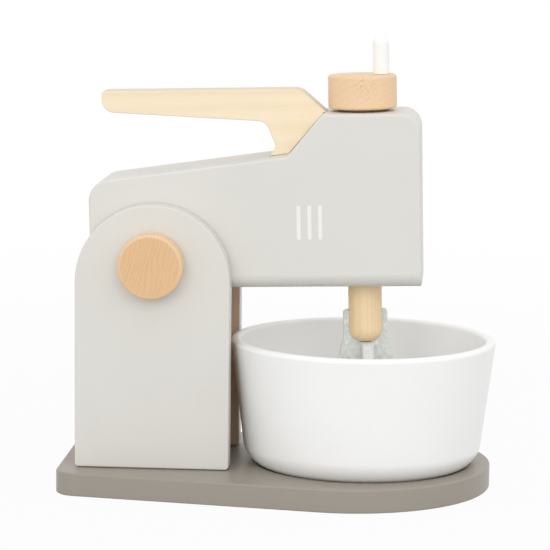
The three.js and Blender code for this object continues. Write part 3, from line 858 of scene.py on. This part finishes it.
# Felt beater: a wide grey blade pushed up the slot of the spindle, and two white cross blades glued to
# its faces below it. They are cut from stiff pressed wool felt, with a fibrous face and soft edges.

blade_half = 1.5 * mm
blade_top = -29.8 * mm
blade_waist = -44.5 * mm
blade_top_half = 11.9 * mm
blade_bottom_half = 27.5 * mm
blade_top_radius = 2 * mm
blade_waist_radius = 12 * mm
blade_bottom_radius = 7 * mm
cross_half = 3 * mm
cross_inner = blade_half + glue_line
cross_top = spindle_end - glue_gap
cross_top_reach = 12 * mm
cross_bottom_reach = 24 * mm
felt_edge_radius = 0.45 * mm
beater_clearance = 6 * mm
beater_low_z = bowl_low.z + bowl_floor + beater_clearance
blade_floor = ((beater_low_z - axle.z - (spindle_x - blade_bottom_half) * math.sin(rest_lean))
               / math.cos(rest_lean))
felt_nets = (((0.3, 0.9, 0.2), 1900), ((1.2, -0.7, 0.5), 2100))


def felt_finish(name, light, dark, ply_share):
    """Pressed wool: two nets of short fibres that lie every way, slightly clouded, with a soft bloom and
    upright plies where it was cut."""
    material, shader = new_finish(name, roughness=0.95, Sheen_Weight=0.25, Sheen_Roughness=0.6)
    first, second = (noise(material, placed(material, turn=turn, stretch=(1, 1, 0.16)), scale, detail=4,
                           rough=0.6, warp=0.4) for turn, scale in felt_nets)
    fibres = join(material, "Math", {0: first, 1: second}, operation="MAXIMUM").outputs[0]
    clouds = noise(material, placed(material), scale=420, detail=4, rough=0.6)
    ply_place = placed(material, turn=(0, -rest_lean, 0), stretch=(1, 1, 0.06))
    plies = noise(material, ply_place, scale=1300, rough=0.6)
    tone = join(material, "Math", {0: fibres, 1: clouds}, operation="MULTIPLY").outputs[0]
    colour = blended(material, between(material, tone, low=0.14, high=0.46), dark, light)
    ply_tone = between(material, plies, low=0.45, high=0.62, high_to=ply_share)
    wear(material, shader, Base_Color=blended(material, ply_tone, colour, dark),
         Normal=relief(material, tone, depth=0.5 * mm, strength=0.9))
    return material


grey_felt = felt_finish("grey_wool_felt", screen_colour(246, 250, 245), screen_colour(200, 206, 200),
                        ply_share=0.1)
white_felt = felt_finish("white_wool_felt", screen_colour(254, 254, 252), screen_colour(212, 214, 212),
                         ply_share=0.5)


def felt_blade(corners, half, place):
    """A blade cut from felt to an outline, with softened edges, at its place under the spindle."""
    bm = sawn_board(corners, -half, 2 * half)
    soft_edges(bm, sharp_edges(bm), felt_edge_radius, steps=3)
    bmesh.ops.transform(bm, matrix=place, verts=bm.verts)
    return bm


def wide_blade():
    """The blade in the slot, narrow at its top and wide near the bowl's floor."""
    return felt_blade([
        (-blade_bottom_half, blade_floor, blade_bottom_radius),
        (blade_bottom_half, blade_floor, blade_bottom_radius),
        (blade_top_half, blade_waist, blade_waist_radius),
        (blade_top_half, blade_top, blade_top_radius),
        (-blade_top_half, blade_top, blade_top_radius),
        (-blade_top_half, blade_waist, blade_waist_radius),
    ], blade_half, beater_place)


def cross_blade(side):
    """A blade that stands square to the wide one, on its front or its rear face."""
    return felt_blade([
        (cross_inner, blade_floor, 0),
        (cross_bottom_reach, blade_floor, blade_bottom_radius),
        (cross_top_reach, cross_top, blade_top_radius),
        (cross_inner, cross_top, 0),
    ], cross_half, beater_place @ Matrix.Rotation(side * math.pi / 2, 4, "Z"))


finish_piece(wide_blade(), "felt_wide_blade", grey_felt, "crank", ["wide_blade"])
finish_piece(cross_blade(-1), "felt_front_blade", white_felt, "crank", ["front_cross_blade"])
finish_piece(cross_blade(1), "felt_rear_blade", white_felt, "crank", ["rear_cross_blade"])

# Studio: a plain white floor that fades out to a white backdrop, an even white surround, and three large
# soft lamps, two in front and one to the right. None of it is part of the object.

floor_radius = 8.0
floor_drop = 0.2 * mm
floor_grey = screen_colour(195, 195, 195)
fade_start = 0.35
fade_end = 1.1
near_glow = 0.95
surround_level = 0.9
plain_white = (1, 1, 1, 1)


def seen_ray(owner):
    """1 for what the camera, a reflection or clear glass shows, in a material or a world."""
    path = join(owner, "LightPath", {})
    seen = path.outputs["Is Camera Ray"]
    for other in ("Is Glossy Ray", "Is Transmission Ray"):
        seen = join(owner, "Math", {0: seen, 1: path.outputs[other]}, operation="MAXIMUM").outputs[0]
    return seen


def floor_finish():
    """Pale grey for the light that falls on it, and mostly white for what sees it."""
    material, shader = new_finish("studio_floor", roughness=0.9, Base_Color=floor_grey)
    glow = join(material, "Emission", {"Color": plain_white, "Strength": 1.0}).outputs[0]
    place = join(material, "TexCoord", {}).outputs["Object"]
    away = join(material, "VectorMath", {0: place}, operation="LENGTH").outputs["Value"]
    share = between(material, away, fade_start, fade_end, low_to=near_glow)
    amount = join(material, "Math", {0: seen_ray(material), 1: share}, operation="MULTIPLY").outputs[0]
    mixed = join(material, "MixShader", {0: amount, 1: shader.outputs[0], 2: glow}).outputs[0]
    tree = material.node_tree
    tree.links.new(mixed, tree.nodes["Material Output"].inputs["Surface"])
    return material


def studio_floor():
    """A wide round floor just below the underside of the mixer."""
    bm = bmesh.new()
    bmesh.ops.create_circle(bm, cap_ends=True, segments=64, radius=floor_radius,
                            matrix=Matrix.Translation((0, 0, -floor_drop)))
    mesh = bpy.data.meshes.new("studio_floor")
    bm.to_mesh(mesh)
    bm.free()
    mesh.materials.append(floor_finish())
    floor = bpy.data.objects.new("studio_floor", mesh)
    bpy.context.scene.collection.objects.link(floor)


studio_floor()
world = bpy.data.worlds.new("white_surround")
world.use_nodes = True
bpy.context.scene.world = world
surround = world.node_tree.nodes["Background"]
surround.inputs["Color"].default_value = plain_white
level = between(world, seen_ray(world), low=0.0, high=1.0, low_to=surround_level)
world.node_tree.links.new(level, surround.inputs["Strength"])
lamp_aim = Vector((0, 0, 0.1))


def soft_lamp(name, place, width, power, tint=(1, 1, 1)):
    """A large square lamp that faces the middle of the mixer."""
    lamp = bpy.data.lights.new(name, "AREA")
    lamp.shape = "SQUARE"
    lamp.size = width
    lamp.energy = power
    lamp.color = tint
    holder = bpy.data.objects.new(name, lamp)
    holder.location = place
    holder.rotation_euler = (lamp_aim - Vector(place)).to_track_quat("-Z", "Y").to_euler()
    bpy.context.scene.collection.objects.link(holder)


soft_lamp("front_lamp", (0.6, -1.9, 1.1), width=1.2, power=7.5)
soft_lamp("left_lamp", (-0.75, -2.1, 0.9), width=1.0, power=7.0, tint=(1, 1, 0.98))
soft_lamp("right_lamp", (1.7, -0.6, 0.9), width=1.0, power=1.2, tint=(0.95, 0.98, 1.0))

# Camera: stands where the photograph was taken from, a little above the mixer and nearly square to its
# front. Its turn, drop and roll are measured from a level view along the Y axis.

camera_place = (0.10051, -1.41480, 0.31735)
camera_turn = math.radians(4.20)
camera_drop = math.radians(8.22)
camera_roll = math.radians(0.59)
camera = bpy.data.cameras.new("photo_camera")
camera.lens = 174.45
camera.sensor_width = 36
camera_holder = bpy.data.objects.new("photo_camera", camera)
bpy.context.scene.collection.objects.link(camera_holder)
camera_holder.matrix_world = (Matrix.Translation(camera_place) @ Matrix.Rotation(camera_turn, 4, "Z")
                              @ Matrix.Rotation(math.pi / 2 - camera_drop, 4, "X")
                              @ Matrix.Rotation(camera_roll, 4, "Z"))
bpy.context.scene.camera = camera_holder
bpy.context.scene.view_settings.view_transform = "Standard"
